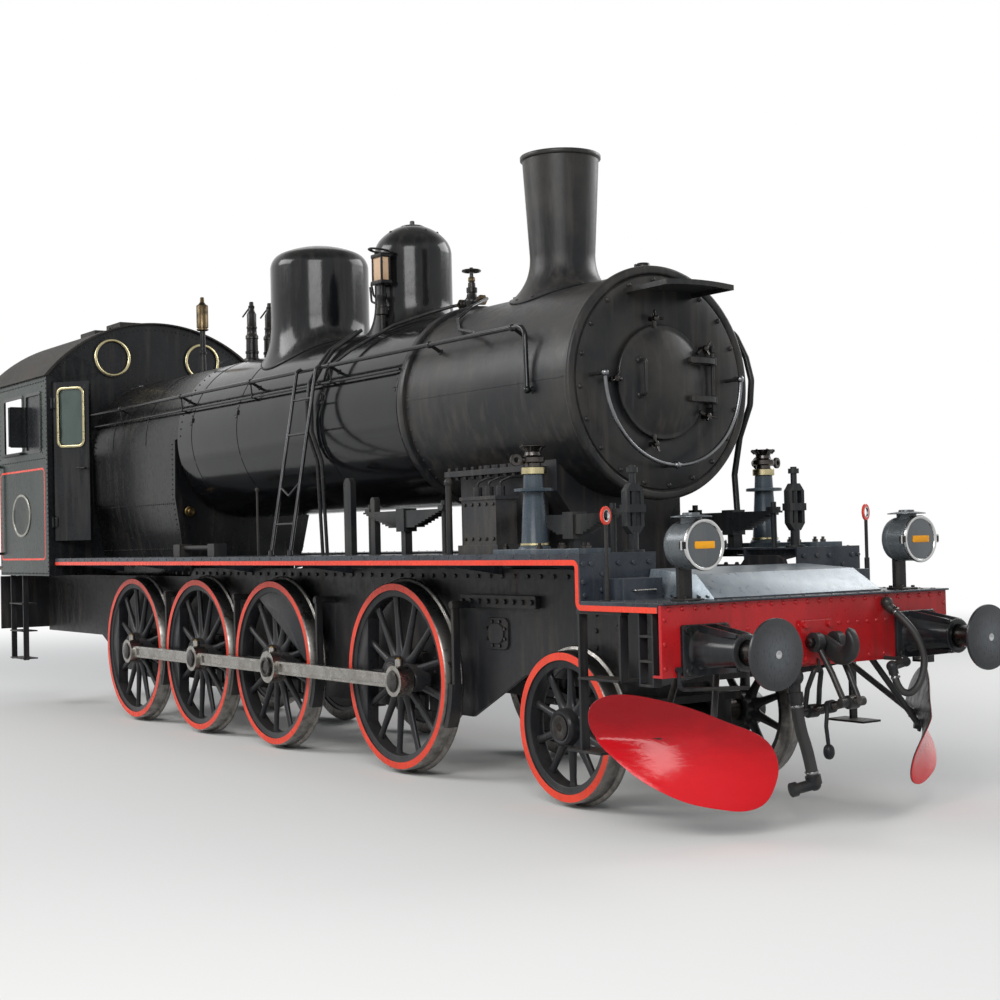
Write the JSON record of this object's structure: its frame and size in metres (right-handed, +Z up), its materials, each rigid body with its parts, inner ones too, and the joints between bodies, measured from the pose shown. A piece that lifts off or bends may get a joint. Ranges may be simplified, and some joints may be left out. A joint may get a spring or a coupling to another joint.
{
  "type": "steam locomotive",
  "caption": "Standard-gauge tender steam locomotive without its tender: inside cylinders, spoked wheels with coupling rods, open cab, domes, front platform and oval rail ploughs.",
  "frame": {"origin": "under the middle of the engine, at the lowest point of the wheel flanges", "axes": "+X forwards along the boiler, +Y to the left of the engine, +Z up"},
  "size_m": [12.2, 2.82, 4.448],
  "materials": {
    "black_paint": "semi-gloss",
    "boiler_black": "gloss",
    "smokebox_black": "matt",
    "wheel_black": "semi-gloss",
    "signal_red": "gloss",
    "cab_green": "semi-gloss",
    "rod_steel": "oiled",
    "axle_steel": "oiled",
    "window_glass": "clear",
    "spring_steel": "oily",
    "jack_blue": "satin",
    "hose_rubber": "matt",
    "lamp_grey": "satin",
    "buffer_steel": "satin"
  },
  "bodies": {
    "engine": {"ashpan": "black_paint", "axleboxes": "black_paint", "backhead_fittings": "rod_steel", "beam_fittings": "black_paint", "board_gear": "black_paint", "boiler_barrel": "boiler_black", "boiler_fittings": "black_paint", "brake_gear": "black_paint", "brake_hose": "hose_rubber", "buffer_beam": "signal_red", "buffers": "buffer_steel", "cab_floor": "black_paint", "cab_front": "black_paint", "cab_glass": "window_glass", "cab_roof": "black_paint", "cab_seats": "black_paint", "cab_sides": "cab_green", "chimney": "smokebox_black", "cylinder_block": "black_paint", "drag_beam": "black_paint", "draw_gear": "buffer_steel", "firebox": "boiler_black", "front_platform": "black_paint", "handrails": "black_paint", "heating_hose": "hose_rubber", "ladders": "black_paint", "lamps": "lamp_grey", "leaf_springs": "spring_steel", "lubricator": "black_paint", "main_frame": "black_paint", "rail_ploughs": "signal_red", "running_boards": "black_paint", "sand_dome": "boiler_black", "sand_pipes": "black_paint", "screw_jacks": "jack_blue", "side_pipe": "black_paint", "slide_bars": "black_paint", "smokebox": "smokebox_black", "smokebox_fittings": "smokebox_black", "smokebox_front": "smokebox_black", "steam_dome": "boiler_black", "steps": "black_paint"},
    "leading_truck": {"leading_truck": "black_paint"},
    "leading_wheelset": {"leading_wheels": "wheel_black", "leading_axle": "axle_steel"},
    "coupling_rod_right": {"coupling_rod_right": "rod_steel"},
    "coupling_rod_left": {"coupling_rod_left": "rod_steel"},
    "smokebox_door": {"smokebox_door": "smokebox_black"},
    "cab_door_right": {"cab_door_right": "black_paint"},
    "cab_door_left": {"cab_door_left": "black_paint"},
    "coupled_wheelset_1": {"coupled_wheels_1": "wheel_black", "coupled_axle_1": "axle_steel"},
    "coupled_wheelset_2": {"coupled_wheels_2": "wheel_black", "coupled_axle_2": "axle_steel"},
    "coupled_wheelset_3": {"coupled_wheels_3": "wheel_black", "coupled_axle_3": "axle_steel"},
    "coupled_wheelset_4": {"coupled_wheels_4": "wheel_black", "coupled_axle_4": "axle_steel"}
  },
  "joints": [
    {"name": "coupled_wheelset_1_turn", "type": "hinge", "parent": "engine", "child": "coupled_wheelset_1", "pos_m": [2.05, 0, 0.722], "axis": [0, 1, 0], "continuous": true},
    {"name": "coupled_wheelset_2_turn", "type": "hinge", "parent": "engine", "child": "coupled_wheelset_2", "pos_m": [0.05, 0, 0.722], "axis": [0, 1, 0], "continuous": true},
    {"name": "coupled_wheelset_3_turn", "type": "hinge", "parent": "engine", "child": "coupled_wheelset_3", "pos_m": [-1.45, 0, 0.722], "axis": [0, 1, 0], "continuous": true},
    {"name": "coupled_wheelset_4_turn", "type": "hinge", "parent": "engine", "child": "coupled_wheelset_4", "pos_m": [-2.95, 0, 0.722], "axis": [0, 1, 0], "continuous": true},
    {"name": "coupling_rod_right_pin", "type": "hinge", "parent": "coupled_wheelset_2", "child": "coupling_rod_right", "pos_m": [0.30365, -0.934, 0.70871], "axis": [0, 1, 0], "continuous": true},
    {"name": "coupling_rod_left_pin", "type": "hinge", "parent": "coupled_wheelset_2", "child": "coupling_rod_left", "pos_m": [0.06329, 0.934, 0.97565], "axis": [0, 1, 0], "continuous": true},
    {"name": "leading_truck_swivel", "type": "hinge", "parent": "engine", "child": "leading_truck", "pos_m": [3.06, 0, 0.613], "axis": [0, 0, 1], "range_deg": [-2.5, 2.5]},
    {"name": "leading_wheelset_turn", "type": "hinge", "parent": "leading_truck", "child": "leading_wheelset", "pos_m": [4.104, 0, 0.513], "axis": [0, 1, 0], "continuous": true},
    {"name": "smokebox_door_hinge", "type": "hinge", "parent": "engine", "child": "smokebox_door", "pos_m": [4.225, 0.422, 2.755], "axis": [0, 0, 1], "range_deg": [0, 105]},
    {"name": "cab_door_right_hinge", "type": "hinge", "parent": "engine", "child": "cab_door_right", "pos_m": [-4.133, -1.193, 2.628], "axis": [0, 0, 1], "range_deg": [-38, 52]},
    {"name": "cab_door_left_hinge", "type": "hinge", "parent": "engine", "child": "cab_door_left", "pos_m": [-4.133, 1.193, 2.628], "axis": [0, 0, 1], "range_deg": [0, 90]}
  ],
  "couplings": [
    {"joint": "coupled_wheelset_1_turn", "follows": "coupled_wheelset_2_turn", "ratio": 1},
    {"joint": "coupled_wheelset_3_turn", "follows": "coupled_wheelset_2_turn", "ratio": 1},
    {"joint": "coupled_wheelset_4_turn", "follows": "coupled_wheelset_2_turn", "ratio": 1},
    {"joint": "coupling_rod_right_pin", "follows": "coupled_wheelset_2_turn", "ratio": -1},
    {"joint": "coupling_rod_left_pin", "follows": "coupled_wheelset_2_turn", "ratio": -1}
  ]
}
